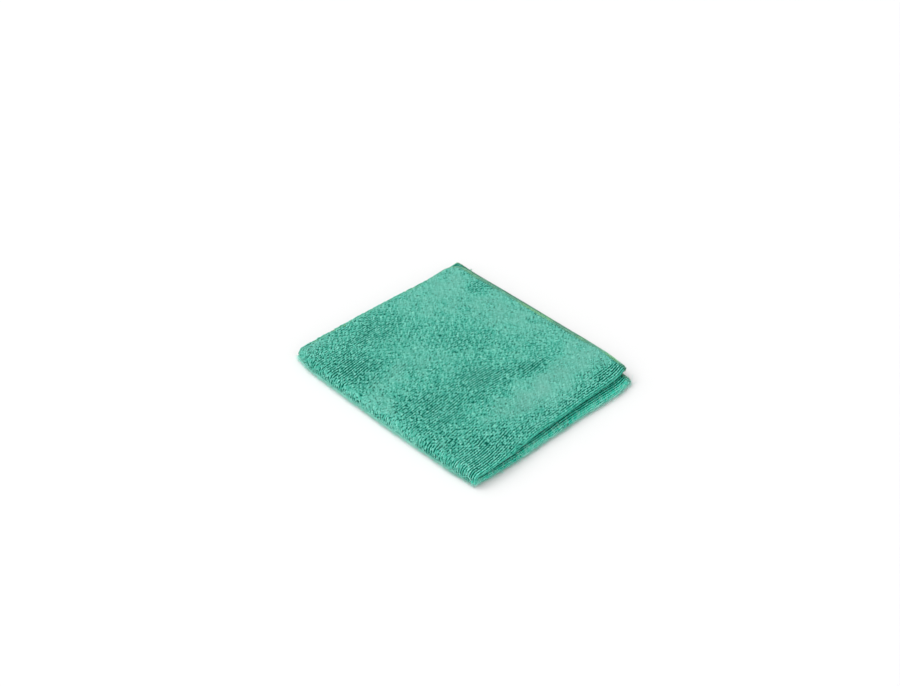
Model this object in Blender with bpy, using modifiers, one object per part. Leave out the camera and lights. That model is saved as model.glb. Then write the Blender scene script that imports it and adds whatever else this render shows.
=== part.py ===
"""A microfibre terry cloth, folded in half twice into a flat pad of four layers.

Metres, +Z up. The ribs of the knit run along X. The first fold lies along the ribs, at low Y,
and makes a pair of layers. The second fold crosses the ribs, at low X, and stacks that pair on
itself. The hems lie at high X and high Y, and the pad rests on the flat underside of its lowest
layer. One open surface in the middle of the cloth is folded, and Solidify makes it cloth again.
"""

import math

import bmesh
import bpy

NAME = "cloth"

# The cloth laid flat: its overlocked outline, and its thickness with the pile of both faces
ALONG_RIBS = 0.3490
ACROSS_RIBS = 0.3940
THICKNESS = 0.0023
LAYER_GAP = 0.0005

# How far the two folds miss the middle of the cloth. The lower pair is longer than the upper one
# along X, and the two inner layers are a little longer than the outer ones along Y.
SECOND_FOLD_MISS = -0.0008
FIRST_FOLD_MISS = 0.0005

# The lower pair has turned a little under the upper one, so that its fold shows at high X
LOWER_PAIR_TURN = 0.0035

# The outer layers go round the outside of the second fold, so their hems end sooner at high X.
# Beside the first fold the knit stretches instead, over this width.
STRETCH_WIDTH = 0.060

# Corner radius where the overlock turns, for each corner of the flat cloth
CORNERS = (
    # end along the ribs, end across the ribs, radius
    ("upper", "outer", 0.016),
    ("upper", "inner", 0.002),
    ("lower", "inner", 0.002),
    ("lower", "outer", 0.003),
)

# Where air holds two layers apart: a soft mound in one gap, placed as shares of the pad's sides
LOFTS = (
    # gap, place along X, place along Y, reach along X, reach along Y, height
    ("pairs", 1.05, -0.05, 0.46, 0.30, 0.0004),
    ("pairs", 0.45, 0.02, 0.35, 0.14, 0.0005),
    ("upper", 0.55, 0.50, 0.45, 0.40, 0.0007),
    ("upper", 0.80, 0.10, 0.22, 0.12, 0.0004),
    ("upper", 0.20, 0.78, 0.16, 0.14, 0.0003),
    ("lower", 0.50, 0.45, 0.50, 0.45, 0.0003),
)

# Where the outline strays from a straight one: a soft push of some layers along one axis. The
# upper pair's first fold lies back from the lower pair's, all the way from the second fold.
PUSHES = (
    # layers, axis, place along X, place along Y, reach along X, reach along Y, distance
    ("all", "x", 1.00, -0.02, 0.60, 0.15, -0.0076),
    ("all", "x", 1.00, 0.62, 0.50, 0.42, 0.0012),
    ("all", "x", 1.00, 1.00, 0.15, 0.08, 0.0015),
    ("all", "x", 0.00, 1.00, 0.20, 0.06, 0.0031),
    ("all", "x", 0.00, 0.80, 0.25, 0.15, -0.0004),
    ("all", "x", 0.00, 0.45, 0.35, 0.35, -0.0020),
    ("all", "y", 0.08, 0.00, 0.14, 0.15, -0.0013),
    ("all", "y", 0.22, 0.00, 0.30, 0.25, -0.0009),
    ("all", "y", 0.62, 0.00, 0.25, 0.20, 0.0005),
    ("all", "y", 1.00, 0.00, 0.06, 0.12, 0.0032),
    ("all", "y", 0.76, 1.00, 0.16, 0.25, -0.0012),
    ("all", "y", 1.00, 1.00, 0.12, 0.20, 0.0025),
    ("upper pair", "x", 1.00, 0.00, 0.60, 0.20, 0.0042),
    ("upper pair", "y", 0.30, 0.00, 0.15, 0.20, 0.0013),
    ("upper pair", "y", 0.60, 0.00, 0.42, 0.30, 0.0028),
    ("upper pair", "y", 1.00, 0.00, 0.25, 0.30, 0.0030),
)

# Faces of the folded surface: across each bend, and along each flat half
FIRST_BEND_FACES = 8
SECOND_BEND_FACES = 10
HALF_FACES_ALONG = 15
HALF_FACES_ACROSS = 18
FINER_TO_THE_HEM = 1.4

COLOUR = (0.108, 0.445, 0.347, 1.0)
ROUGHNESS = 0.95

PITCH = THICKNESS + LAYER_GAP
FIRST_RADIUS = PITCH / 2
SECOND_RADIUS = PITCH
GAP_MIDDLES = {"lower": THICKNESS / 2 + PITCH / 2}
GAP_MIDDLES["pairs"] = GAP_MIDDLES["lower"] + PITCH
GAP_MIDDLES["upper"] = GAP_MIDDLES["pairs"] + PITCH


def eased(share):
    """A smooth step from 0 to 1."""
    share = min(1.0, max(0.0, share))
    return share * share * (3 - 2 * share)


def bend(distance, radius):
    """Where a signed distance from the crown of a half turn ends: the angle turned, and what is
    left to run straight past the turn."""
    quarter = math.pi / 2 * radius
    turned = math.pi / 2 * min(1.0, max(-1.0, distance / quarter))
    return turned, max(0.0, abs(distance) - quarter)


def stations(length, bend_length, bend_faces, half_faces):
    """Places of the grid's lines over a length with a bend in its middle, finer to the hems."""
    flat = (length - bend_length) / 2
    steps = [1 - (1 - i / half_faces) ** FINER_TO_THE_HEM for i in range(1, half_faces + 1)]
    half = [bend_length / 2 + flat * step for step in steps]
    middle = [bend_length * (i / bend_faces - 0.5) for i in range(bend_faces + 1)]
    return [-place for place in reversed(half)] + middle + half


def rounded(along, across):
    """Draws a point of the flat cloth in to its rounded corner."""
    ends = ("upper" if along > 0 else "lower", "outer" if across > 0 else "inner")
    radius = next(corner[2] for corner in CORNERS if corner[:2] == ends)
    start_along = ALONG_RIBS / 2 - radius
    start_across = ACROSS_RIBS / 2 - radius
    u = (abs(along) - start_along) / radius
    v = (abs(across) - start_across) / radius
    if u <= 0 or v <= 0:
        return along, across
    new_along = start_along + radius * u * math.sqrt(1 - v * v / 2)
    new_across = start_across + radius * v * math.sqrt(1 - u * u / 2)
    return math.copysign(new_along, along), math.copysign(new_across, across)


def folded(along, across):
    """A point of the flat cloth after both folds, with the crown of each fold near zero."""
    turned, straight = bend(across - FIRST_FOLD_MISS, FIRST_RADIUS)
    y = FIRST_RADIUS * (1 - math.cos(turned)) + straight
    outward = FIRST_RADIUS * math.sin(turned)

    slip = eased(y / STRETCH_WIDTH)
    turned, straight = bend(along + SECOND_FOLD_MISS, SECOND_RADIUS + outward * slip)
    x = SECOND_RADIUS - (SECOND_RADIUS + outward) * math.cos(turned) + straight
    z = (SECOND_RADIUS + outward) * math.sin(turned)
    return x, y, z


def mound(x, y, place_x, place_y, reach_x, reach_y):
    """How near a point is to a place: 1 there, and smoothly 0 past its reach."""
    far_x = (x / (ALONG_RIBS / 2) - place_x) / reach_x
    far_y = (y / (ACROSS_RIBS / 2) - place_y) / reach_y
    return math.exp(-far_x * far_x - far_y * far_y)


def above(z, gap):
    """How far a point is past a gap between two layers: 0 below it, 1 above it."""
    return eased((z - GAP_MIDDLES[gap]) / PITCH + 0.5)


def lofted(x, y, z):
    """Lifts a point by every mound of air below it."""
    lift = 0.0
    for gap, place_x, place_y, reach_x, reach_y, height in LOFTS:
        lift += height * above(z, gap) * mound(x, y, place_x, place_y, reach_x, reach_y)
    return z + lift


def pushed(x, y, z):
    """Moves a point by every soft push of its layer's outline."""
    moves = {"x": 0.0, "y": 0.0}
    for layers, axis, place_x, place_y, reach_x, reach_y, distance in PUSHES:
        share = above(z, "pairs") if layers == "upper pair" else 1.0
        moves[axis] += distance * share * mound(x, y, place_x, place_y, reach_x, reach_y)
    return x + moves["x"], y + moves["y"]


def placed(along, across):
    """Where a point of the flat cloth lies in the pad, with the crowns of both folds at zero."""
    x, y, z = folded(*rounded(along, across))
    z += THICKNESS / 2 + 1.5 * PITCH
    y -= LOWER_PAIR_TURN * (1 - above(z, "pairs")) * x / (ALONG_RIBS / 2)
    return *pushed(x, y, z), lofted(x, y, z)


def fold_cloth():
    """The folded middle surface of the cloth, as one open grid."""
    first_bend = math.pi * FIRST_RADIUS
    second_bend = math.pi * SECOND_RADIUS
    along = stations(ALONG_RIBS, second_bend, SECOND_BEND_FACES, HALF_FACES_ALONG)
    across = stations(ACROSS_RIBS, first_bend, FIRST_BEND_FACES, HALF_FACES_ACROSS)
    grid = bmesh.new()
    columns, rows = len(along) - 1, len(across) - 1
    bmesh.ops.create_grid(grid, x_segments=columns, y_segments=rows, size=0.5)
    for vertex in grid.verts:
        column = round((vertex.co.x + 0.5) * columns)
        row = round((vertex.co.y + 0.5) * rows)
        vertex.co = placed(along[column], across[row])
    return grid


def centre(grid):
    """Puts the middle of the thick cloth's outline at the origin."""
    for axis in (0, 1):
        places = [vertex.co[axis] for vertex in grid.verts]
        middle = (min(places) - THICKNESS / 2 + max(places)) / 2
        for vertex in grid.verts:
            vertex.co[axis] -= middle


def terry():
    """The cloth's green polyester and polyamide terry."""
    material = bpy.data.materials.new("terry")
    material.use_nodes = True
    shader = material.node_tree.nodes["Principled BSDF"]
    shader.inputs["Base Color"].default_value = COLOUR
    shader.inputs["Roughness"].default_value = ROUGHNESS
    shader.inputs["Metallic"].default_value = 0.0
    return material


def main():
    for old in list(bpy.data.objects):
        bpy.data.objects.remove(old)
    collection = bpy.data.collections.new("folded_cloth")
    bpy.context.scene.collection.children.link(collection)

    grid = fold_cloth()
    centre(grid)
    mesh = bpy.data.meshes.new(NAME)
    grid.to_mesh(mesh)
    grid.free()
    mesh.shade_smooth()
    mesh.materials.append(terry())

    cloth = bpy.data.objects.new(NAME, mesh)
    collection.objects.link(cloth)
    thicken = cloth.modifiers.new("Thickness", "SOLIDIFY")
    thicken.thickness = THICKNESS
    thicken.offset = 0.0
    thicken.use_even_offset = True


main()
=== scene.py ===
# %% [markdown]
# # A folded microfibre cloth
#
# The object is a cleaning cloth of warp-knitted microfibre terry. It is folded in half twice and
# lies flat. This lesson dresses the plain solid of the fold with what the eye reads as terry:
# a ground fabric, thousands of soft loops in ribs, and an overlocked hem.
#
# Everything is first placed on the cloth as it lies flat, in three numbers: how far along the
# ribs, how far across them, and how high above the middle of the fabric. One function then folds
# those numbers into the pad. So a loop or a stitch is always part of the cloth, and nothing has to
# be fitted to it afterwards.

import math

import bpy
import numpy as np
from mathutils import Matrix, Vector


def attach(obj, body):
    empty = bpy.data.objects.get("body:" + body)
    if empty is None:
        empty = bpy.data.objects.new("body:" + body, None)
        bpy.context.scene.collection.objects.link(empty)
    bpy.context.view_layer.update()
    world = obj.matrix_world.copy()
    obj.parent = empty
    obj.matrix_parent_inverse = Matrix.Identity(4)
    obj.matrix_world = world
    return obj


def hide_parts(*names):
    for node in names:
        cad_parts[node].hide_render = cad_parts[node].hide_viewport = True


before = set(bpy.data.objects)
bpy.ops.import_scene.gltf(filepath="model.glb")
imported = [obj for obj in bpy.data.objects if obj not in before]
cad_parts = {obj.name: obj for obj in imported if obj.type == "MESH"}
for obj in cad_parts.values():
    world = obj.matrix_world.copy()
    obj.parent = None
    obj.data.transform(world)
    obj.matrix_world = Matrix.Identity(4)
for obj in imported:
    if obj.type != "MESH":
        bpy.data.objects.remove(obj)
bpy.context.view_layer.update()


# %% [markdown]
# ## The cloth's real sizes
#
# Blender's unit here is the metre, and cloth is measured in millimetres, so one constant turns
# one into the other. The sizes of the sheet and of its folds are those of the solid.

# %% Sizes of the flat cloth and of its folds
MM = 0.001
ALONG = 349 * MM
ACROSS = 394 * MM
THICKNESS = 2.3 * MM
PITCH = THICKNESS + 0.5 * MM
FIRST_RADIUS = PITCH / 2
SECOND_RADIUS = PITCH
FIRST_MISS = 0.5 * MM
SECOND_MISS = -0.8 * MM
LOWER_TURN = 3.5 * MM
STRETCH_WIDTH = 60 * MM

# The corners where the hem turns: upper or lower half, outer or inner half, radius in mm
CORNERS = {
    ("upper", "outer"): 16,
    ("upper", "inner"): 2,
    ("lower", "inner"): 2,
    ("lower", "outer"): 3,
}

# Soft mounds of air between two layers, placed in shares of the sides, heights in mm
LOFTS = (
    # gap, along X, along Y, reach X, reach Y, height
    ("pairs", 1.05, -0.05, 0.46, 0.30, 0.4),
    ("pairs", 0.45, 0.02, 0.35, 0.14, 0.5),
    ("upper", 0.55, 0.50, 0.45, 0.40, 0.7),
    ("upper", 0.80, 0.10, 0.22, 0.12, 0.4),
    ("upper", 0.20, 0.78, 0.16, 0.14, 0.3),
    ("lower", 0.50, 0.45, 0.50, 0.45, 0.3),
)

# Where the outline strays from a straight one, as soft pushes of all layers or of the upper pair
PUSHES = (
    # layers, axis, along X, along Y, reach X, reach Y, distance in mm
    ("all", 0, 1.00, -0.02, 0.60, 0.15, -7.6),
    ("all", 0, 1.00, 0.62, 0.50, 0.42, 1.2),
    ("all", 0, 1.00, 1.00, 0.15, 0.08, 1.5),
    ("all", 0, 0.00, 1.00, 0.20, 0.06, 3.1),
    ("all", 0, 0.00, 0.80, 0.25, 0.15, -0.4),
    ("all", 0, 0.00, 0.45, 0.35, 0.35, -2.0),
    ("all", 1, 0.08, 0.00, 0.14, 0.15, -1.3),
    ("all", 1, 0.22, 0.00, 0.30, 0.25, -0.9),
    ("all", 1, 0.62, 0.00, 0.25, 0.20, 0.5),
    ("all", 1, 1.00, 0.00, 0.06, 0.12, 3.2),
    ("all", 1, 0.76, 1.00, 0.16, 0.25, -1.2),
    ("all", 1, 1.00, 1.00, 0.12, 0.20, 2.5),
    ("upper", 0, 1.00, 0.00, 0.60, 0.20, 4.2),
    ("upper", 1, 0.30, 0.00, 0.15, 0.20, 1.3),
    ("upper", 1, 0.60, 0.00, 0.42, 0.30, 2.8),
    ("upper", 1, 1.00, 0.00, 0.25, 0.30, 3.0),
)

# Small shapes that the soft surface has beyond those of the solid. The crown of the second fold
# lies further in, where fuzz takes its place, and its lower half sags outward. The corner by both
# folds is pressed in, and so is the first fold, a little, except that the upper pair's comes out
# near that corner. The hems stand a little higher and further out along the far sides.
SOFT_PUSHES = (
    ("all", 0, 0.00, 0.50, 0.10, 1.50, 2.2),
    ("all", 1, 0.50, 1.00, 0.70, 0.25, 0.6),
    ("all", 1, 1.00, 1.00, 0.15, 0.20, 0.6),
    ("all", 0, 1.00, 0.88, 0.12, 0.50, 1.2),
    ("all", 1, 0.00, 0.00, 0.16, 0.15, 1.7),
    ("all", 0, 0.00, 0.00, 0.12, 0.08, 1.2),
    ("all", 1, 0.50, 0.00, 1.50, 0.06, 0.4),
    ("upper", 1, 0.20, 0.00, 0.15, 0.12, -1.3),
)
SAG = 0.8 * MM
SOFT_LOFTS = (
    ("pairs", 0.50, 1.02, 0.70, 0.22, 0.35),
    ("upper", 0.50, 1.02, 0.70, 0.22, 0.35),
)
print(f"flat cloth {ALONG / MM:.0f} x {ACROSS / MM:.0f} mm, {THICKNESS / MM:.1f} mm thick")

# %% [markdown]
# ## Folding numbers instead of folding a mesh
#
# Cloth could be folded by a simulation, but two sharp folds on top of each other are hard to
# steer. A fold is also simple to write down: the cloth runs straight, goes round half a circle
# and runs straight back. The first fold gives a pair of layers. The second fold bends that pair,
# so the outer layer goes round a larger circle than the inner one and its hem ends a few
# millimetres sooner.
#
# The functions take arrays, so one call folds a million points.

# %% Soft steps, soft peaks, directions and one bend
def eased(share):
    """A smooth step from 0 to 1."""
    share = np.clip(share, 0.0, 1.0)
    return share * share * (3 - 2 * share)


def near(distance, reach):
    """1 at no distance, and smoothly 0 past the reach."""
    return np.exp(-((distance / reach) ** 2))


def unit(vectors):
    """The same directions at a length of 1."""
    return vectors / np.linalg.norm(vectors, axis=-1, keepdims=True)


def bend(distance, radius):
    """The angle turned, and the straight run past it, at a signed distance from a crown."""
    quarter = math.pi / 2 * radius
    turned = math.pi / 2 * np.clip(distance / quarter, -1.0, 1.0)
    return turned, np.maximum(0.0, np.abs(distance) - quarter)


turned, straight = bend(np.array([0.0, 2.2, 50.0]) * MM, FIRST_RADIUS)
print("turned in degrees:", np.degrees(turned).round(0), "then straight mm:", (straight / MM).round(1))

# %% [markdown]
# The hem turns its corners in small arcs. A square corner of the flat cloth is pressed into a
# quarter disc, which keeps neighbouring points neighbours.

# %% Round the corners of the flat cloth
def corner_radius(along, across):
    radius = np.empty(np.shape(along))
    for (end, half), size in CORNERS.items():
        here = ((along > 0) == (end == "upper")) & ((across > 0) == (half == "outer"))
        radius[here] = size * MM
    return radius


def rounded(along, across):
    radius = corner_radius(along, across)
    start_along, start_across = ALONG / 2 - radius, ACROSS / 2 - radius
    u = np.clip((np.abs(along) - start_along) / radius, 0, 1)
    v = np.clip((np.abs(across) - start_across) / radius, 0, 1)
    corner = (u > 0) & (v > 0)
    new_along = start_along + radius * u * np.sqrt(1 - v * v / 2)
    new_across = start_across + radius * v * np.sqrt(1 - u * u / 2)
    return (
        np.where(corner, np.copysign(new_along, along), along),
        np.where(corner, np.copysign(new_across, across), across),
    )


tip = rounded(np.array([ALONG / 2]), np.array([ACROSS / 2]))
print("one corner is drawn in to, in mm:", (np.array(tip).ravel() / MM).round(1))

# %% [markdown]
# Folded cloth is never quite even. The knit has pulled the right-hand corner in, the lower pair of
# layers has turned a little under the upper one, and the upper pair's fold lies a few millimetres
# back from the lower pair's. A little air lifts some of the layers.

# %% Fold the middle surface of the cloth
def mound(x, y, place_x, place_y, reach_x, reach_y):
    """A soft peak at a place in the pad, in shares of its sides."""
    return near(x / (ALONG / 2) - place_x, reach_x) * near(y / (ACROSS / 2) - place_y, reach_y)


def above_gap(z, gap):
    """0 under a gap between two layers, 1 over it."""
    middle = THICKNESS / 2 + PITCH * (0.5 + ("lower", "pairs", "upper").index(gap))
    return eased((z - middle) / PITCH + 0.5)


def fold(along, across, soft=True):
    """Where points of the flat cloth's middle surface lie, with both crowns near zero."""
    turned, straight = bend(across - FIRST_MISS, FIRST_RADIUS)
    y = FIRST_RADIUS * (1 - np.cos(turned)) + straight
    outward = FIRST_RADIUS * np.sin(turned)
    slip = eased(y / STRETCH_WIDTH)
    turned, straight = bend(along + SECOND_MISS, SECOND_RADIUS + outward * slip)
    x = SECOND_RADIUS - (SECOND_RADIUS + outward) * np.cos(turned) + straight
    z = (SECOND_RADIUS + outward) * np.sin(turned) + THICKNESS / 2 + 1.5 * PITCH

    lofts, all_pushes = LOFTS, PUSHES
    if soft:
        x = x - SAG * np.sin(np.clip(-2 * turned, 0, math.pi))
        lofts, all_pushes = LOFTS + SOFT_LOFTS, PUSHES + SOFT_PUSHES

    in_upper = above_gap(z, "pairs")
    y = y - LOWER_TURN * (1 - in_upper) * x / (ALONG / 2)
    lift = sum(h * MM * above_gap(z, gap) * mound(x, y, *place) for gap, *place, h in lofts)
    pushes = [0.0, 0.0]
    for layers, axis, *place, distance in all_pushes:
        share = in_upper if layers == "upper" else 1.0
        pushes[axis] = pushes[axis] + distance * MM * share * mound(x, y, *place)
    return np.stack([x + pushes[0], y + pushes[1], z + lift], -1)

# %% [markdown]
# The solid's outline is centred on the origin. The same shift is found here from a grid with a
# line per millimetre.

# %% Centre the fold on the solid
def centring():
    along = np.linspace(-ALONG / 2, ALONG / 2, 351)
    across = np.linspace(-ACROSS / 2, ACROSS / 2, 395)
    points = fold(*rounded(*[g.ravel() for g in np.meshgrid(along, across)]), soft=False)
    low, high = points.min(0) - THICKNESS / 2, points.max(0)
    return np.array([-(low[0] + high[0]) / 2, -(low[1] + high[1]) / 2, 0.0])


CENTRING = centring()
print("shift to the solid in mm:", (CENTRING / MM).round(2))

# %% [markdown]
# A height above the middle surface goes along the surface's normal. The normal comes from two
# tiny steps, one along the ribs and one across them.

# %% From flat numbers to a place in the pad
STEP = 0.02 * MM


def place(along, across, height):
    """Points of the pad from flat coordinates: along the ribs, across them, and outward."""
    middle = fold(along, across)
    on = fold(along + STEP, across) - fold(along - STEP, across)
    over = fold(along, across + STEP) - fold(along, across - STEP)
    normal = unit(np.cross(on, over))
    return middle + CENTRING + normal * np.asarray(height)[..., None]


top = place(np.array([80 * MM]), np.array([90 * MM]), np.array([THICKNESS / 2]))[0]
print("a point on top, in mm:", (top / MM).round(1))

# %% [markdown]
# ## How the nap lies
#
# Terry shows light and dark patches where hands and folding have brushed its loops. Brushed flat,
# they close up and look pale and smooth. Standing up, they let dark gaps show between them. The
# patches of the top layer are listed in millimetres from the corner where both folds meet.
# Elsewhere a few crossing waves give the same restless look.

# %% Brushed and standing patches
PATCHES = (
    # along X, along Y, reach X, reach Y, nap: above 0 is brushed flat, below 0 stands up
    (100, 32, 40, 15, 0.75),
    (158, 40, 24, 22, 0.55),
    (160, 120, 20, 44, 0.50),
    (140, 178, 34, 26, 0.50),
    (46, 122, 26, 16, 0.35),
    (9, 104, 9, 14, 0.4),
    (12, 194, 16, 8, 0.4),
    (82, 72, 20, 16, -0.75),
    (36, 70, 26, 26, -0.52),
    (121, 56, 11, 8, -1.05),
    (24, 148, 20, 14, -0.68),
    (60, 172, 26, 14, -0.52),
    (30, 12, 40, 14, -0.68),
    (160, 7, 22, 7, -0.6),
    (162, 160, 9, 9, -0.98),
    (100, 130, 20, 14, -0.22),
    (148, 58, 12, 10, -0.3),
)


def waves(along, across, size, seed):
    """A smooth restless field from about -1 to 1, with lumps of a given size."""
    rng = np.random.default_rng(seed)
    total = 0.0
    for angle, phase, stretch in rng.uniform(0, 1, (7, 3)):
        angle, phase, pace = math.tau * angle, math.tau * phase, math.pi / (size * (0.6 + stretch))
        total = total + np.sin(pace * (along * math.cos(angle) + across * math.sin(angle)) + phase)
    return total / 3.0


def bared_strip(along, across):
    """1 where the lower pair shows beyond the upper one, beside the first fold."""
    in_lower_pair = 1 - eased(along / (4 * MM) + 1)
    past_inner_side = eased(across / (3 * MM) + 2)
    before_underside = 1 - eased(across / (4 * MM) - 1)
    return in_lower_pair * past_inner_side * before_underside


def nap(along, across):
    """How the pile lies: 1 brushed flat, -1 standing up."""
    patches = 0.0
    for x, y, reach_x, reach_y, amount in PATCHES:
        here = near(along / MM - x, reach_x) * near(across / MM - y, reach_y)
        patches = patches + amount * here
    on_top = eased(along / (4 * MM)) * eased(across / (4 * MM))
    strip = bared_strip(along, across)
    wild = 0.40 * waves(along, across, 22 * MM, 3) - 0.15 * (1 - on_top) + 0.2 * strip
    inner_side = eased((-across - 2 * MM) / (4 * MM))
    wild -= 0.9 * inner_side
    fine = 0.15 * waves(along, across, 6 * MM, 4)
    return np.clip(patches * on_top + wild * (1 - 0.8 * on_top) + fine, -1.0, 1.0)


print("nap at two places:", nap(np.array([0.09, 0.06]), np.array([0.02, 0.07])).round(2))

# %% [markdown]
# ## Meshes from arrays
#
# Thousands of loops are quickest to make as arrays of points, joined into one mesh. Four
# attributes travel with the points: `tone`, a shade for each yarn that differs at random and also
# carries painted light and shade over parts of the pad; `depth`, which is 0 at a yarn's root and 1
# at its tip and sets painted shade at the root; `lying`, which is 0 where the pile stands and 1
# where it is brushed flat and sets painted sheen; and `folded`, which is above 0 where the pile
# faces more pile and sets painted bounce light. The materials read them. A UV map holds the flat
# coordinates, so a texture baked for this mesh keeps every loop in its place.

# %% Turn arrays into a Blender object
def new_object(name, points, faces, material, flat, **attributes):
    mesh = bpy.data.meshes.new(name)
    mesh.vertices.add(len(points))
    mesh.vertices.foreach_set("co", points.astype(np.float32).ravel())
    mesh.loops.add(faces.size)
    mesh.loops.foreach_set("vertex_index", faces.astype(np.int32).ravel())
    mesh.polygons.add(len(faces))
    starts = np.arange(len(faces), dtype=np.int32) * faces.shape[1]
    mesh.polygons.foreach_set("loop_start", starts)
    mesh.update(calc_edges=True)
    for title, values in attributes.items():
        attribute = mesh.attributes.new(title, "FLOAT", "POINT")
        attribute.data.foreach_set("value", values.astype(np.float32))
    spread = (flat - flat.min(0)) / np.ptp(flat, axis=0).max()
    layer = mesh.uv_layers.new(name="OFBake")
    layer.uv.foreach_set("vector", spread[faces.ravel()].astype(np.float32).ravel())
    mesh.validate()
    mesh.shade_smooth()
    mesh.materials.append(material)
    made = bpy.data.objects.new(name, mesh)
    bpy.context.scene.collection.objects.link(made)
    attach(made, "root")
    print(f"{name}: {len(faces) * (faces.shape[1] - 2)} triangles")
    return made


# %% [markdown]
# A tube round a centre line is used for loops and for sewing thread. A loop's centre line lies in
# one plane, so the direction square to that plane serves as one side of every ring.

# %% Tubes round many centre lines at once
def tubes(centres, sideways, radii, sides):
    """Rings round centre lines (n, rings, 3), as points (n, rings, sides, 3) and quads."""
    count, rings, _ = centres.shape
    along = np.gradient(centres, axis=1)
    upward = unit(np.cross(along, sideways[:, None, :]))
    angles = math.tau * (np.arange(sides) + 0.5) / sides
    ring = (
        np.cos(angles)[:, None] * sideways[:, None, None, :]
        + np.sin(angles)[:, None] * upward[:, :, None, :]
    )
    points = centres[:, :, None, :] + ring * radii[:, :, None, None]

    first = np.arange(sides)
    second = (first + 1) % sides
    band = np.stack([first, second, second + sides, first + sides], -1)
    bands = band[None] + (np.arange(rings - 1) * sides)[:, None, None]
    faces = bands.reshape(-1, 4)[None] + (np.arange(count) * rings * sides)[:, None, None]
    return points, faces.reshape(-1, 4)


# %% [markdown]
# ## Materials
#
# One small function adds a node with its settings and links, and a few others use it for sums,
# mixes and ramps. Colours are written as sRGB hex values, as a colour picker shows them, and
# turned to linear light by one function.

# %% Node and colour helpers
def linear(hex_colour):
    """Linear RGBA from an sRGB hex value such as "#5db49d"."""
    parts = [int(hex_colour[i:i + 2], 16) / 255 for i in (1, 3, 5)]
    return [p / 12.92 if p <= 0.04045 else ((p + 0.055) / 1.055) ** 2.4 for p in parts] + [1.0]


def new_material(name):
    material = bpy.data.materials.new(name)
    material.use_nodes = True
    tree = material.node_tree
    print("material:", name)
    return material, tree, tree.nodes["Principled BSDF"]


def add(tree, kind, settings=None, **inputs):
    """Adds a node. An input takes a value, or another node's output to link to."""
    node = tree.nodes.new("ShaderNode" + kind)
    for name, value in (settings or {}).items():
        setattr(node, name, value)
    for name, value in inputs.items():
        socket = node.inputs[int(name[1:])] if name[1:].isdigit() else node.inputs[name]
        if isinstance(value, bpy.types.NodeSocket):
            tree.links.new(value, socket)
        else:
            socket.default_value = value
    return node


def attribute(tree, name):
    return add(tree, "Attribute", {"attribute_name": name}).outputs["Fac"]


def maths(tree, operation, *values):
    """One sum. Each value is a number or another node's output."""
    numbered = {f"_{number}": value for number, value in enumerate(values)}
    return add(tree, "Math", {"operation": operation}, **numbered).outputs[0]


def mixed(tree, share, colour, other):
    """A colour with a share of the other one mixed in."""
    return add(tree, "Mix", {"data_type": "RGBA"}, _0=share, _6=colour, _7=other).outputs[2]


def colour_ramp(tree, shade, low, middle, high):
    """Three stops, each a position and a hex colour."""
    node = add(tree, "ValToRGB", Fac=shade)
    stops = node.color_ramp.elements
    stops[0].position, stops[0].color = low[0], linear(low[1])
    stops[1].position, stops[1].color = high[0], linear(high[1])
    stops.new(middle[0]).color = linear(middle[1])
    return node.outputs["Color"]


print("a mid green in linear light:", np.round(linear("#41a691"), 3))

# %% [markdown]
# ### Microfibre terry pile
#
# The yarn is polyester and polyamide, spun so fine that a bundle looks like soft fluff. It has no
# gloss of its own. Light that grazes the fine fibres gives a pale bloom at the edges, which is
# what sheen is for. Dye takes unevenly. The roots sit in shade, and that shade is painted into the
# colour, which runs from a deep green at the root to a pale one at the tip. Where the pile is
# brushed flat, the fibres' sides send back more white light, so a little pale grey is mixed in
# there as painted sheen. Inside a fold light goes from pile to pile and takes on more green each
# time, so a stronger green is mixed in there as painted bounce light.

# %% Terry pile and ground
FLUFF = 0.35 * MM
DYE_PATCH = 14 * MM

# How much the shade takes from depth in the pile (painted shade at the roots), yarn, fluff and dye
BY_DEPTH = 0.45
BY_YARN = 0.35
BY_FLUFF = 0.22
BY_DYE = 0.12

# The share of pale grey painted in as sheen: this much of `lying`, less a start that keeps standing
# pile green
BLOOM = 0.85
BLOOM_START = -0.42


def terry_material(name, deep, middle, pale, sheen=0.12):
    material, tree, shader = new_material(name)
    position = add(tree, "TexCoord").outputs["Object"]
    fluff = add(tree, "TexNoise", Vector=position, Scale=1 / FLUFF, Detail=3.0)
    dye = add(tree, "TexNoise", Vector=position, Scale=1 / DYE_PATCH, Detail=2.0)

    # Painted shade: a yarn's colour is deeper towards its root.
    height = maths(tree, "MULTIPLY", attribute(tree, "depth"), BY_DEPTH)
    yarn = maths(tree, "MULTIPLY_ADD", attribute(tree, "tone"), BY_YARN, height)
    fine = maths(tree, "MULTIPLY_ADD", fluff.outputs["Fac"], BY_FLUFF, yarn)
    shade = maths(tree, "MULTIPLY_ADD", dye.outputs["Fac"], BY_DYE, fine)
    green = colour_ramp(tree, shade, (0.12, deep), (0.55, middle), (1.0, pale))
    bloom = maths(tree, "MULTIPLY_ADD", attribute(tree, "lying"), BLOOM, BLOOM_START)
    bloom.node.use_clamp = True
    painted_sheen = mixed(tree, bloom, green, linear("#8cb0a8"))
    # Painted bounce light: a stronger green where the pile faces more pile.
    deepened = mixed(tree, attribute(tree, "folded"), painted_sheen, linear("#2ad4b6"))
    tree.links.new(deepened, shader.inputs["Base Color"])

    bump = add(tree, "Bump", Strength=0.7, Distance=0.15 * MM, Height=fluff.outputs["Fac"])
    tree.links.new(bump.outputs["Normal"], shader.inputs["Normal"])
    shader.inputs["Roughness"].default_value = 0.9
    shader.inputs["Specular IOR Level"].default_value = sheen
    shader.inputs["Sheen Weight"].default_value = sheen
    shader.inputs["Sheen Roughness"].default_value = 0.5
    shader.inputs["Sheen Tint"].default_value = linear("#d6f2e8")
    return material


pile_terry = terry_material("terry_pile", "#05614e", "#41a691", "#88d8c8")
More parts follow.
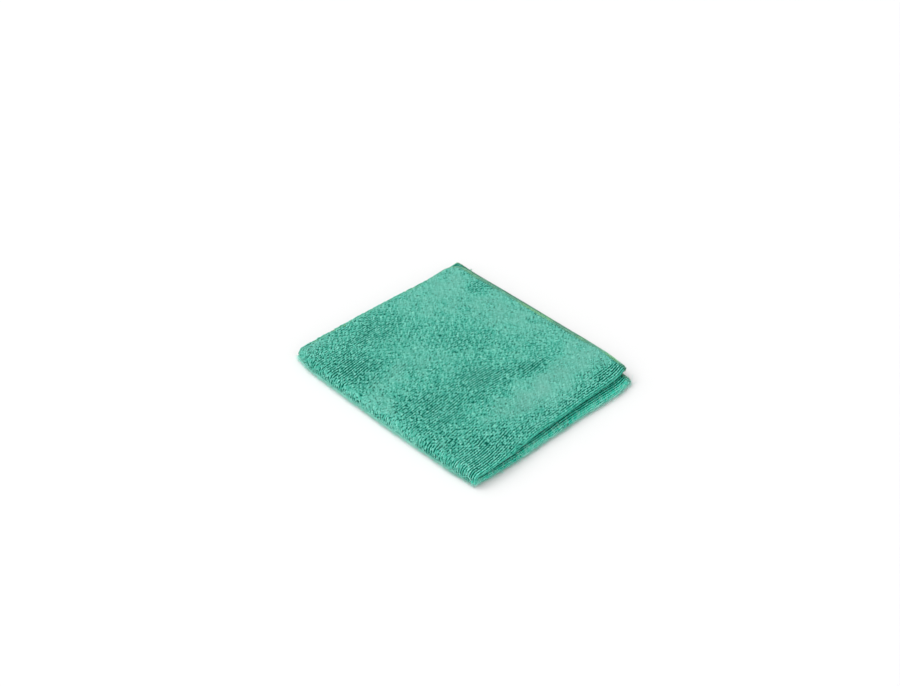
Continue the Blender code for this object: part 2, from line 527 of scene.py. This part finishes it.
# The fuzz is a paler copy of the pile: painted light, for thin fibres lit from all round.
fuzz_terry = terry_material("terry_fuzz", "#44c6ac", "#84ead5", "#ccfaf1", sheen=0.35)
# The ground's deep colours are painted shade: the knit sits in shade between the loops.
ground_terry = terry_material("terry_ground", "#004235", "#05594a", "#319a83", sheen=0.05)

# %% [markdown]
# ### Overlock thread
#
# The hem is overlocked with textured polyester thread. It is dyed a yellower green than the
# cloth, more so in some lengths, and its twist gives it a slight shine. The thread on the inner
# face is painted a darker olive as painted shade, which draws a thin dark line along the hems
# where the lower layers' hems lie in shade.

# %% Overlock thread
def thread_material():
    material, tree, shader = new_material("overlock_thread")
    position = add(tree, "TexCoord").outputs["Object"]
    twist = add(tree, "TexNoise", Vector=position, Scale=1 / (0.4 * MM), Detail=2.0)
    length = add(tree, "TexNoise", Vector=position, Scale=1 / (24 * MM), Detail=0.0)
    blend = maths(tree, "MULTIPLY_ADD", twist.outputs["Fac"], 0.4, attribute(tree, "tone"))
    green = colour_ramp(tree, blend, (0.15, "#3f6f55"), (0.45, "#48957a"), (0.95, "#74bb9c"))
    yellower = add(tree, "MapRange", Value=length.outputs["Fac"], _1=0.52, _2=0.66, _3=0.0, _4=0.6)
    dyed = mixed(tree, yellower.outputs[0], green, linear("#7fc282"))
    tree.links.new(dyed, shader.inputs["Base Color"])
    bump = add(tree, "Bump", Strength=0.5, Distance=0.06 * MM, Height=twist.outputs["Fac"])
    tree.links.new(bump.outputs["Normal"], shader.inputs["Normal"])
    shader.inputs["Roughness"].default_value = 0.6
    shader.inputs["Sheen Weight"].default_value = 0.15
    return material


overlock_thread = thread_material()

# %% [markdown]
# ## The ground fabric
#
# Under the loops lies a knitted ground that holds them. It is modelled as the whole sheet, one
# closed mesh on the solid's folds: an outer face under the pile, an inner face that mostly hides
# between the layers, and a rounded hem that joins them. Its lines lie close together in the bends
# and wide apart on the flat.

# %% Lines of the sheet's grid
GROUND_OUT = 0.20 * MM
GROUND_IN = -1.0 * MM
HEM_OUT = 0.80 * MM
HEM_WIDTH = 5.0 * MM
GRID = 4.1 * MM


def hem_rise(along, across):
    """How far the hem stands out of the pile: 1 where it crosses the ribs, less beside them."""
    past = (np.abs(along) - ALONG / 2) - (np.abs(across) - ACROSS / 2)
    return 0.30 + 0.70 * eased((past + 4 * MM) / (8 * MM))


def grid_lines(length, crown, bend_radius, spacing):
    """Places of grid lines: fine over the bend and near both hems, wider between them."""
    half_bend = math.pi / 2 * bend_radius * 1.1
    bend_lines = np.linspace(-half_bend, half_bend, 21) + crown
    hem_lines = length / 2 - np.array([0.0, 0.25, 0.7, 1.4, 2.4, 3.6, 5.0, 6.5]) * MM
    upper = np.arange(bend_lines[-1] + spacing, hem_lines[-1] - spacing / 2, spacing)
    lower = np.arange(bend_lines[0] - spacing, -hem_lines[-1] + spacing / 2, -spacing)
    return np.sort(np.concatenate([-hem_lines, lower, bend_lines, upper, hem_lines]))


lines_along = grid_lines(ALONG, -SECOND_MISS, SECOND_RADIUS, GRID)
lines_across = grid_lines(ACROSS, FIRST_MISS, FIRST_RADIUS, GRID)
print(len(lines_along), "lines across the ribs,", len(lines_across), "along them")

# %% [markdown]
# The knit is not a perfect plane: it ripples by a few tenths of a millimetre. The ripple is added
# to the height, which moves the ground and its loops together.

# %% Ripples and the shape of the hem
def ripple(along, across):
    """Small unevenness of the cloth, and none where it rests on the surface below."""
    soft = 0.16 * MM * waves(along, across, 16 * MM, 11) + 0.08 * MM * waves(along, across, 5 * MM, 12)
    resting = eased(-(along + SECOND_MISS) / (4 * MM)) * eased(across / (4 * MM))
    return soft * (1 - resting)


def from_hem(along, across):
    """Distance to the nearest hem, round the corners too."""
    radius = corner_radius(along, across)
    past_along = np.abs(along) - (ALONG / 2 - radius)
    past_across = np.abs(across) - (ACROSS / 2 - radius)
    in_corner = (past_along > 0) & (past_across > 0)
    round_corner = np.hypot(past_along, past_across)
    return radius - np.where(in_corner, round_corner, np.maximum(past_along, past_across))


def make_ground():
    across, along = np.meshgrid(lines_across, lines_along)
    inside = from_hem(along, across)
    rim = np.sqrt(np.clip(inside / (0.9 * MM), 0, 1))
    in_hem = 1 - eased(inside / HEM_WIDTH)
    thick = HEM_OUT * hem_rise(along, across)
    outer = (GROUND_OUT + (thick - GROUND_OUT) * in_hem) * rim + ripple(along, across)
    inner = (GROUND_IN + (-thick - GROUND_IN) * in_hem) * rim + ripple(along, across)
    flat = rounded(along, across)
    rows, columns = along.shape
    first = place(*flat, outer).reshape(-1, 3)
    second = place(*flat, inner).reshape(-1, 3)

    index = np.arange(rows * columns).reshape(rows, columns)
    corners = [index[:-1, :-1], index[1:, :-1], index[1:, 1:], index[:-1, 1:]]
    quads = np.stack(corners, -1).reshape(-1, 4)
    on_rim = np.ones((rows, columns), bool)
    on_rim[1:-1, 1:-1] = False
    renumber = np.where(on_rim, index, index + rows * columns).ravel()
    faces = np.concatenate([quads, renumber[quads][:, ::-1]])
    points = np.concatenate([first, second])
    used = np.unique(faces)
    packed = np.full(len(points), -1)
    packed[used] = np.arange(len(used))
    tone = np.full(len(used), 0.5)
    # Painted light: the ground is paler in the hem, where its pile lies, past the first fold, and
    # where the pile is brushed flat
    lit = 0.2 + 0.5 * in_hem + 0.6 * np.maximum(nap(along, across), 0) + 0.1 * (across < 0)
    depth = np.concatenate([lit.ravel()] * 2)[used]
    both_sides = np.concatenate([np.stack(flat, -1).reshape(-1, 2)] * 2)
    both_sides[rows * columns:, 0] += 1.05 * ALONG
    lying = np.concatenate([0.5 + 0.5 * nap(along, across).ravel()] * 2)[used]
    return new_object(
        "cloth_ground", points[used], packed[faces], ground_terry, both_sides[used],
        tone=tone, depth=depth, lying=lying,
    )


ground = make_ground()
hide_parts("cloth")

# %% [markdown]
# ## The loops
#
# Terry is knitted so that a spare yarn stands up in loops, one row beside the next, which makes
# the ribs. In a bend the pile spreads like a fan, so the rows and the loops in each row are spaced
# by what they measure out in the pile, and not on the flat cloth.

# %% Where loops are rooted
WALE = 1.97 * MM
COURSE = 1.36 * MM
PILE_MIDDLE = 0.6 * MM
PILE_SURFACE = 1.6 * PILE_MIDDLE
FINE_ALONG = np.linspace(-ALONG / 2, ALONG / 2, 1200)
FINE_ACROSS = np.linspace(-26 * MM, ACROSS / 2 + 9 * MM, 3000)


def even_places(lines, spacing, first):
    """For lines (n, points, 3), the point numbers (with fractions) that lie evenly spaced."""
    steps = np.linalg.norm(np.diff(lines, axis=1), axis=-1)
    runs = np.concatenate([np.zeros((len(lines), 1)), np.cumsum(steps, axis=1)], axis=1)
    marks = np.arange(runs.shape[1])
    return [
        np.interp(np.arange(start * spacing, run[-1], spacing), run, marks)
        for run, start in zip(runs, first)
    ]


def pile_runs():
    """How far across the ribs each fine place is, measured out in the pile 60 mm along them."""
    same = np.ones(FINE_ACROSS.size)
    line = place(60 * MM * same, FINE_ACROSS, PILE_SURFACE * same)
    steps = np.linalg.norm(np.diff(line, axis=0), axis=-1)
    return np.concatenate([[0.0], np.cumsum(steps)])


PILE_RUNS = pile_runs()


def loop_roots(seed):
    """Flat coordinates of every loop's root, all over the outer face and in the first fold."""
    rng = np.random.default_rng(seed)
    rows = np.interp(np.arange(0.5 * WALE, PILE_RUNS[-1], WALE), PILE_RUNS, FINE_ACROSS)

    along, across = np.meshgrid(FINE_ALONG, rows)
    lines = place(along, across, np.full(along.shape, PILE_MIDDLE))
    marks = even_places(lines, COURSE, 0.25 + 0.5 * (np.arange(len(rows)) % 2))
    numbers = np.arange(FINE_ALONG.size)
    along = np.concatenate([np.interp(m, numbers, FINE_ALONG) for m in marks])
    across = np.repeat(rows, [len(m) for m in marks])
    return along + rng.normal(0, 0.15, along.size) * COURSE, across


root_along, root_across = loop_roots(31)
print(len(root_along), "loops")

# %% [markdown]
# The rows don't run dead straight. The first fold misses them by a few rows near the corner where
# both folds meet, so ribs come out of the fold there at a slant, and all over they wander a little.

# %% Let the rows wander
SLANT = 7 * MM
SLANT_REACH = 75 * MM


def wander(along, across):
    """How far each row has strayed across the ribs."""
    near_corner = -SLANT * (1 - eased(along / SLANT_REACH))
    off_hem = eased((ACROSS / 2 - np.abs(across)) / (80 * MM))
    return (near_corner + 0.9 * MM * waves(along, across, 30 * MM, 23)) * off_hem


strayed = wander(root_along, root_across)
row_runs = np.interp(root_across, FINE_ACROSS, PILE_RUNS) + strayed
root_across = np.interp(row_runs, PILE_RUNS, FINE_ACROSS)
print("rows stray over mm:", (np.ptp(strayed) / MM).round(1))

# %% [markdown]
# How a loop stands depends on the nap and on how near it is to a folded edge. `rib_order` is 1
# where the ribs show. A standing loop is tall, narrow and stays over its root, apart from a lean
# towards its neighbours: terry gathers in small tufts, with dark gaps between them. A brushed loop
# lies over, is wider, and covers the gap beside it.

# %% Order, tufts and folds
FIELD_ORDER = 0.40


def rib_order(along, across):
    """How well the rows keep in line: near 1 at the first fold and where both folds meet."""
    uneven = 0.85 + 0.3 * waves(along, across, 30 * MM, 21)
    near_first = near(across, 13 * MM) * uneven
    near_both = 0.88 * near(along, 60 * MM) * near(across, 45 * MM)
    field = FIELD_ORDER + 0.35 * np.maximum(-nap(along, across), 0)
    return np.clip(np.maximum(near_first, near_both), field, 1)


def in_turn(along, across, first, second):
    """Numbers from 0 to 1, spread so that neighbouring loops always differ."""
    return np.mod(np.rint(along / COURSE) * first + np.rint(across / WALE) * second, 1.0)


def fold_share(along, across):
    """1 at the crown of either fold, and 0 a few millimetres away."""
    second = near(along, 6 * MM) * eased((across + 4 * MM) / (4 * MM))
    return np.maximum(second, near(across, 4.5 * MM))


def tufts(along, across):
    """Slope of the small tufts that loops gather in, per millimetre along and across."""
    def lump(a, b):
        return waves(a, b, 2.6 * MM, 61)
    step = 0.1 * MM
    on = (lump(along + step, across) - lump(along - step, across)) / 0.2
    over = (lump(along, across + step) - lump(along, across - step)) / 0.2
    return np.stack([on, over], -1)


two_rows = np.array([0.0, 90 * MM])
print("order at the first fold and further in:", rib_order(90 * MM, two_rows).round(2))

# %% [markdown]
# One function sizes the loops and draws their centre lines. Widths, heights and thicknesses are
# in millimetres at first, and each is uneven. Loops are lower on the crown of a fold, where they
# spread, just below the second fold, and beside the hems that cross the ribs.

# %% Centre lines of the loops
LOOP_WIDE = 1.35
LOOP_HIGH = 1.02
LOOP_FAT = 0.58
LOOP_ROOT = 0.10 * MM
BRUSHED = np.array([0.45, -0.85])


def loop_lines(along, across, lying, order, between, rings, rng):
    """Centre lines, the direction square to each, and the radii of the yarn along them."""
    count = len(along)
    brushed, standing = np.maximum(lying, 0), np.maximum(-lying, 0)
    jumble = 1 - order
    in_fold = fold_share(along, across)
    under_fold = near(along + 6 * MM, 4 * MM) * eased(across / (4 * MM))
    pressed = 1 - eased((ALONG / 2 - np.abs(along)) / HEM_WIDTH)

    turn = rng.normal(0, 1, count) * (0.10 + 0.35 * jumble)
    lean = rng.normal(0, 0.26, (count, 2)) * (0.2 + jumble)[:, None]
    gathered = tufts(along, across) * (0.05 + 0.12 * standing)[:, None]
    lean = lean + gathered * (0.2 + 0.8 * jumble)[:, None]
    lean = lean + BRUSHED * brushed[:, None]

    wide = LOOP_WIDE + 0.28 * rng.normal(0, 1, count) + 0.35 * brushed + 0.35 * order
    high = LOOP_HIGH + 0.20 * rng.normal(0, 1, count) * (0.4 + 0.6 * jumble) - 0.05 * brushed
    fat = LOOP_FAT + 0.06 * rng.normal(0, 1, count) + 0.12 * brushed - 0.04 * standing
    fat = fat + 0.06 * bared_strip(along, across) - 0.05 * in_fold * (across < 8 * MM)
    high = high * (1 - 0.20 * in_fold) * (1 - 0.35 * under_fold)
    if between:
        high, fat = 0.92 * high, 0.85 * fat
    high = high * (1 - 0.45 * pressed) * MM
    fat = fat * (1 - 0.30 * pressed) * MM
    wide = wide * MM

    swing = math.pi * np.linspace(0, 1, rings)
    forward = -np.cos(swing) * (1 + 0.25 * np.sin(swing)) / 2
    upward = np.sin(swing) ** 0.8
    ahead = np.stack([np.cos(turn), np.sin(turn), np.zeros(count)], -1)
    up = unit(np.concatenate([lean, np.ones((count, 1))], -1))
    root = np.stack([along, across, np.full(count, LOOP_ROOT)], -1)
    centres = (
        root[:, None]
        + forward[None, :, None] * (wide[:, None] * ahead)[:, None]
        + upward[None, :, None] * ((high - fat)[:, None] * up)[:, None]
    )
    radii = fat[:, None] * (0.6 + 0.4 * np.sin(swing))[None]
    return centres, unit(np.cross(ahead, up)), radii


# %% [markdown]
# The shade goes with the loop. Neighbours differ, and some parts of the pad are painted lighter or
# darker as a whole, as painted light and shade: lighter on the side of the second fold and the end
# of the first one, darker on the strip of the lower pair that the upper one leaves bare and on the
# layers that lie under others.

# %% Shades of the loops
def pile_tone(along, across, brushed, rng):
    """A shade for each loop: 0 is the deepest and 1 is the palest."""
    chance = rng.normal(0, 1, len(along))
    own = 0.9 * (in_turn(along, across, 0.618, 0.414) - 0.5) + 0.14 * chance
    tone = 0.42 + own * (1 - 0.4 * brushed) - 0.04 * brushed
    in_middle = eased((across - 30 * MM) / (50 * MM)) * (1 - eased((across - 150 * MM) / (30 * MM)))
    # Painted light: lighter on the side of the second fold, and on the upper pair's first fold near
    # the corner where both folds meet.
    tone = tone + 0.25 * near(along - 1 * MM, 5 * MM) * in_middle
    tone = tone + 0.22 * (along > 0) * near(along - 22 * MM, 20 * MM) * near(across, 5 * MM)
    # Painted shade: darker on the bared strip of the lower pair, and on the layers under others.
    tone = tone - 0.34 * bared_strip(along, across)
    tone = tone - 0.15 * eased((-across - 3 * MM) / (3 * MM))
    return np.clip(tone, 0, 1)


# The share of painted bounce light, a stronger green mixed into the pile's colour.
def facing_pile(along, across):
    """How much the pile faces more pile: inward of the first fold, and in the lower pair round it."""
    start = np.where(along > 0, -1.5 * MM, 2 * MM)
    most = np.where(along > 0, 0.50, 0.56)
    return most * (1 - eased((across - start) / (5 * MM)))


# %% [markdown]
# A last function makes one piece of pile from its roots. It leaves a few loops out, flattens the
# tallest and folds all of them into the pad. A piece can also stand between the ribs, or on the
# inner face.

# %% One piece of pile
LOOP_TOP = 1.15 * MM
LOWEST = 0.03 * MM


def loops(name, roots, seed, rings=4, sides=4, between=False, inside=False):
    """A piece of pile with a tube for each loop."""
    rng = np.random.default_rng(seed)
    along, across = roots
    if between:
        along, across = along + COURSE / 2, across + WALE / 2
    missing = 0.05 * (1 - rib_order(along, across)) * (1 - nap(along, across))
    stays = rng.uniform(0, 1, len(along)) > missing
    along, across = along[stays], across[stays]
    lying, order = nap(along, across), rib_order(along, across)
    across = across + rng.normal(0, 0.10, len(along)) * (1 - order) * WALE

    lines = loop_lines(along, across, lying, order, between, rings, rng)
    points, faces = tubes(*lines, sides)
    flat = points.reshape(-1, 3)
    height = flat[:, 2] - 0.6 * np.maximum(flat[:, 2] - LOOP_TOP, 0)
    if inside:
        height = GROUND_IN + 0.15 * MM - 0.75 * height
    folded = place(flat[:, 0], flat[:, 1], height + ripple(flat[:, 0], flat[:, 1]))
    folded[:, 2] = np.maximum(folded[:, 2], LOWEST)

    each = rings * sides
    tone = pile_tone(along, across, np.maximum(lying, 0), rng)
    green = np.zeros(len(along)) if inside else facing_pile(along, across)
    return new_object(
        name, folded, faces, pile_terry, flat[:, :2],
        tone=np.repeat(tone, each), depth=np.clip(flat[:, 2] / LOOP_TOP, 0, 1),
        lying=np.repeat(0.5 + 0.5 * lying, each), folded=np.repeat(green, each),
    )


# %% [markdown]
# The top of the pad takes the most loops, in pieces that each stay light enough to edit. Between
# its ribs it also has shorter loops, more of them where the pile is brushed, and none where the
# ribs are in order. The underside has fewer and simpler loops. The inner layers only need loops
# where they show: near the first fold, where the pad opens, and beside the hems.

# %% Loops on every face that can be seen
to_along_end = ALONG / 2 - np.abs(root_along)
to_across_end = ACROSS / 2 - np.abs(root_across)
beside_rim = (to_along_end < to_across_end) | (np.maximum(to_along_end, to_across_end) < 18 * MM)
# Loops stay 1.4 mm off the hems that cross the ribs, and off the corners
on_cloth = from_hem(root_along, root_across) > np.where(beside_rim, 1.4, 0.15) * MM
on_top = on_cloth & (root_along > -8 * MM) & (root_across > -3 * MM)
near_second_fold = root_along < 0.5 * ALONG / 2


def roots_of(chosen):
    return root_along[chosen], root_across[chosen]


loops("pile_top_near_fold", roots_of(on_top & near_second_fold), seed=41)
loops("pile_top_near_hem", roots_of(on_top & ~near_second_fold), seed=42)

chance, chance_below = np.random.default_rng(45).uniform(0, 1, (2, len(root_along)))
chance = 0.8 * in_turn(root_along, root_across, 0.755, 0.570) + 0.2 * chance
loose = (1 - rib_order(root_along, root_across)) * (1.0 + 0.9 * nap(root_along, root_across))
well_inside = from_hem(root_along, root_across) > 3 * MM
in_between = on_top & well_inside & (chance < loose)
loops("pile_top_between", roots_of(in_between), seed=47, between=True)

in_hairpin = (root_across < -4.5 * MM) & (np.abs(root_along) < 3.5 * MM)
bared = np.where(root_along < 0, -20 * MM, -8 * MM)
near_first_fold = (root_across < 9 * MM) & (root_across > bared)
in_first_fold = on_cloth & ~on_top & near_first_fold & ~in_hairpin
loops("pile_first_fold", roots_of(in_first_fold), seed=43)

below = on_cloth & ~on_top & ~in_first_fold & (root_across > 0)
loops("pile_under", roots_of(below & (chance_below < 0.6)), seed=44, rings=3, sides=3)

# %% [markdown]
# The cloth has pile on both faces. Its inner face only shows where the top layer's hem stops short
# of the hem below it, so loops are set there in a band along the two hems.

# %% Loops on the inner face, beside the hems
def inside_roots():
    rows = np.arange(WALE - ACROSS / 2, -4 * MM, WALE)
    places = np.arange(COURSE, ALONG / 2, COURSE)
    along, across = np.meshgrid(places, rows)
    along = along + 0.5 * COURSE * (np.arange(len(rows)) % 2)[:, None]
    inset = from_hem(along, across)
    shown = (inset > 1.8 * MM) & (inset < 13 * MM)
    return along[shown], across[shown]


loops("pile_inside", inside_roots(), seed=48, rings=3, inside=True)

# %% [markdown]
# Washing and folding pull single fibres out of the loops. They are too fine to see one by one,
# but along a folded edge there are enough of them to soften the outline into fuzz. At the corner
# by both folds they are few. Each is drawn as a bent spike a few times thicker than the real
# fibre, which stands for a few of them together.

# %% Fuzz of single fibres
FIBRE_FOOT = 0.65 * MM
SHORTEST = 0.9 * MM


def fuzz(name, often, seed, fibre, usual):
    """Thin spikes that lean and bow at random. `often` is how many stand at each loop's root."""
    rings, sides = 3, 3
    rng = np.random.default_rng(seed)
    times = rng.poisson(often)
    count = times.sum()
    along = np.repeat(root_along, times) + 0.5 * MM * rng.normal(0, 1, count)
    across = np.repeat(root_across, times) + 0.6 * MM * rng.normal(0, 1, count)
    share = np.linspace(0, 1, rings)[None, :, None]
    lean = rng.normal(0, 0.75, (count, 1, 2))
    bow = rng.normal(0, 0.55, (count, 1, 2))
    length = SHORTEST + np.minimum(rng.exponential(usual, (count, 1, 1)), 2.8 * usual)
    spread = length * (lean * share + bow * share ** 2)
    foot = np.stack([along, across], -1)[:, None]
    rise = FIBRE_FOOT + length * share * (1 - 0.3 * np.abs(bow[..., :1]) * share)
    centres = np.concatenate([foot + spread, rise], -1)
    sideways = unit(np.cross(centres[:, -1] - centres[:, 0], rng.normal(0, 1, (count, 3))))
    radii = np.broadcast_to(fibre * np.linspace(1, 0.35, rings), (count, rings))
    points, faces = tubes(centres, sideways, radii, sides)
    flat = points.reshape(-1, 3)
    folded = place(flat[:, 0], flat[:, 1], flat[:, 2] + ripple(flat[:, 0], flat[:, 1]))
    ring_lows = folded[:, 2].reshape(-1, sides).min(1)
    folded[:, 2] += np.repeat(np.maximum(LOWEST - ring_lows, 0), sides)
    tone = np.repeat(rng.uniform(0.3, 1.0, count), rings * sides)
    # Painted shade: each fibre is darker towards its root.
    depth = np.tile(np.repeat(np.linspace(0.35, 1, rings), sides), count)
    return new_object(
        name, folded, faces, fuzz_terry, flat[:, :2],
        tone=tone, depth=depth, lying=np.full(len(flat), 0.5),
    )


outside = on_top | in_first_fold | (below & (root_along > -9 * MM))
at_second = 14.0 * near(root_along + 3.4 * MM, 2.7 * MM) * (root_across > -2 * MM)
at_first = 10.0 * near(root_across - 2.3 * MM, 1.6 * MM) * (root_along < 0)
off_corner = 1 - 0.85 * near(root_along, 14 * MM) * near(root_across, 14 * MM)
allowed = np.where(outside & ~in_hairpin, off_corner, 0.0)
fuzz("pile_fuzz", allowed * (0.03 + at_second), seed=46, fibre=0.06 * MM, usual=1.1 * MM)
fuzz("pile_fuzz_first", allowed * at_first, seed=49, fibre=0.07 * MM, usual=1.3 * MM)


# %% [markdown]
# ## The overlocked hem
#
# An overlocker trims the edge and wraps it in thread. One thread zigzags over the outer face from
# the edge to a line 2.5 mm inside, one does the same on the inner face, and a needle thread
# holds both down along that line. All three are tubes that follow the hem of the flat cloth.

# %% Walk round the hem
STITCH = 1.8 * MM
BITE = 2.5 * MM
THREAD = 0.34 * MM
FINE_THREAD = 0.6 * THREAD


def hem_path(distance, inset):
    """Flat coordinates at a distance round the hem and an inset from it, round each corner."""
    sides = np.array([ALONG, ACROSS, ALONG, ACROSS])
    starts = np.concatenate([[0], np.cumsum(sides)])
    distance = np.mod(distance, starts[-1])
    side = np.clip(np.searchsorted(starts, distance, side="right") - 1, 0, 3)
    run = distance - starts[side]
    run_along, run_across = run - ALONG / 2, run - ACROSS / 2
    most_along, most_across = ALONG / 2 - inset, ACROSS / 2 - inset
    along = np.choose(side, [run_along, most_along, -run_along, -most_along])
    across = np.choose(side, [-most_across, run_across, most_across, -run_across])
    return np.clip(along, -most_along, most_along), np.clip(across, -most_across, most_across)


def sew(name, distance, inset, height, radius, seed, shade=0.45):
    """Thread along lines (n, rings) of distance round the hem, inset and height."""
    sides = 3
    rng = np.random.default_rng(seed)
    flat = rounded(*hem_path(distance, inset))
    centres = place(*flat, height)
    ahead = centres[:, -1] - centres[:, 0]
    across_it = centres[:, centres.shape[1] // 2] - centres[:, 0]
    sideways = np.cross(ahead, across_it)
    size = np.linalg.norm(sideways, axis=-1, keepdims=True)
    sideways = np.where(size > 1e-9, sideways / np.maximum(size, 1e-12), [0.0, 0.0, 1.0])
    radii = radius * (1 + 0.12 * rng.normal(0, 1, distance.shape))
    points, faces = tubes(centres, sideways, radii, sides)
    each = centres.shape[1] * sides
    tone = np.repeat(np.clip(shade + 0.12 * rng.normal(0, 1, len(centres)), 0, 1), each)
    uv = np.repeat(np.stack(flat, -1).reshape(-1, 2), sides, axis=0)
    return new_object(name, points.reshape(-1, 3), faces, overlock_thread, uv, tone=tone)


# %% [markdown]
# Each stitch is one V: in from the edge to the needle line and back. The rings are spaced so that
# the thread rounds the edge.

# %% Sew the hem
def overlock():
    rng = np.random.default_rng(51)
    count = int(2 * (ALONG + ACROSS) / STITCH)
    start = (np.arange(count) + rng.normal(0, 0.07, count)) * STITCH
    share = np.array([0.0, 0.08, 0.3, 0.5, 0.7, 0.92, 1.0])
    into = 1 - np.abs(2 * share - 1)
    inset = BITE * into[None] * (1 + 0.05 * rng.normal(0, 1, count))[:, None]
    distance = start[:, None] + share[None] * STITCH
    arch = np.sqrt(np.clip(into / 0.12, 0, 1))
    outer = (HEM_OUT + 0.10 * MM) * arch[None] * hem_rise(*hem_path(distance, inset))
    sew("overlock_outer", distance, inset, outer, THREAD, 52)
    # The inner thread's low shade is painted shade for the dark line along the hems.
    sew("overlock_inner", distance + 0.5 * STITCH, inset, -outer, THREAD, 53, shade=0.12)

    run = np.linspace(0.08, 0.92, 5)
    distance = start[:, None] + run[None] * STITCH
    inset = np.full(distance.shape, BITE)
    dip = (HEM_OUT + 0.12 * MM) * (0.55 + 0.45 * np.sin(math.pi * run))[None]
    height = dip * hem_rise(*hem_path(distance, inset))
    sew("overlock_needle", distance, inset, height, FINE_THREAD, 54)


overlock()

# %% [markdown]
# Where the sewing ended, the overlocker's threads run on a little past the edge. The end is
# clipped to a curl about 3 mm long, beside the corner where the upper hems meet.

# %% The clipped end of the thread
TAIL_ACROSS = 178 * MM


def thread_tail():
    count, rings, sides = 7, 7, 4
    rng = np.random.default_rng(55)
    run = np.linspace(0, 1, rings)
    strands = []
    for turn in rng.uniform(0, math.tau, count):
        curl = 0.45 * MM * (0.4 + run) * np.array([np.cos(turn + 4 * run), np.sin(turn + 4 * run)])
        along = ALONG / 2 - 0.6 * MM + 3.0 * MM * run
        across = TAIL_ACROSS + 1.2 * MM * run + curl[0]
        height = 0.9 * MM * np.sin(2.2 * run) + curl[1]
        strands.append(place(along, across, height))
    centres = np.array(strands)
    sideways = unit(np.cross(centres[:, -1] - centres[:, 0], rng.normal(0, 1, (count, 3))))
    points, faces = tubes(centres, sideways, np.full((count, rings), FINE_THREAD), sides)
    uv = np.repeat(np.tile(np.stack([run, 0.1 * run], -1), (count, 1)), sides, axis=0)
    tone = np.repeat(rng.uniform(0.1, 0.5, count), rings * sides)
    new_object("overlock_tail", points.reshape(-1, 3), faces, overlock_thread, uv, tone=tone)


thread_tail()

# %% [markdown]
# ## Floor, light and camera
#
# A catalogue photo has a white floor that melts into its background, one large soft light and
# little else. Here all light comes from the sky, as in a tent of white cloth: some from all sides,
# more from the front left, and a broad bright patch high at the back that casts the soft shadow on
# the near right side. The camera sees the tent as plain white, and stands where the photo's
# perspective puts it.

# %% Floor
def white_floor():
    bpy.ops.mesh.primitive_plane_add(size=80)
    floor = bpy.context.object
    floor.name = "floor"
    material, _, shader = new_material("white_board")
    shader.inputs["Base Color"].default_value = linear("#cfcfcf")
    shader.inputs["Roughness"].default_value = 0.9
    floor.data.materials.append(material)


white_floor()

# %% Light
EVEN_LIGHT = 0.48
FRONT = Vector((-0.73, -0.42, 0.36)).normalized()
FRONT_LIGHT = 1.20
BACK = Vector((-0.3, 1.0, 1.3)).normalized()
BACK_LIGHT = 6.3
BACK_NARROWNESS = 12


def soft_light():
    world = bpy.data.worlds.new("studio")
    bpy.context.scene.world = world
    world.use_nodes = True
    tree = world.node_tree
    direction = add(tree, "TexCoord").outputs["Generated"]

    def towards(aim):
        facing = add(tree, "VectorMath", {"operation": "DOT_PRODUCT"}, _0=direction, _1=aim)
        return maths(tree, "MAXIMUM", facing.outputs["Value"], 0.0)

    sky = maths(tree, "MULTIPLY_ADD", towards(FRONT), FRONT_LIGHT, EVEN_LIGHT)
    lobe = maths(tree, "POWER", towards(BACK), BACK_NARROWNESS)
    lit = maths(tree, "MULTIPLY_ADD", lobe, BACK_LIGHT, sky)
    seen = add(tree, "LightPath").outputs["Is Camera Ray"]
    strength = add(tree, "Mix", {"data_type": "FLOAT"}, _0=seen, _2=lit, _3=1.0)
    background = tree.nodes["Background"]
    background.inputs["Color"].default_value = (1, 1, 1, 1)
    tree.links.new(strength.outputs[0], background.inputs["Strength"])


soft_light()
print("light all round, front and back:", EVEN_LIGHT, FRONT_LIGHT, BACK_LIGHT)

# %% Camera
HEADING = math.radians(46.25)
DROP = math.radians(37.60)
STANDS_AT = (-0.5954, -0.6052, 0.6806)
FOCAL_PIXELS = 1418
PHOTO_WIDTH = 900
SENSOR_MM = 36


def photo_camera():
    camera = bpy.data.cameras.new("camera")
    camera.sensor_width = SENSOR_MM
    camera.lens = SENSOR_MM * FOCAL_PIXELS / PHOTO_WIDTH
    camera.clip_start = 0.01
    holder = bpy.data.objects.new("camera", camera)
    holder.location = STANDS_AT
    ahead = Vector((
        math.cos(DROP) * math.cos(HEADING),
        math.cos(DROP) * math.sin(HEADING),
        -math.sin(DROP),
    ))
    holder.rotation_euler = ahead.to_track_quat("-Z", "Y").to_euler()
    bpy.context.scene.collection.objects.link(holder)
    bpy.context.scene.camera = holder


photo_camera()
bpy.context.scene.view_settings.view_transform = "Standard"
print("lens in mm:", round(bpy.context.scene.camera.data.lens, 2))
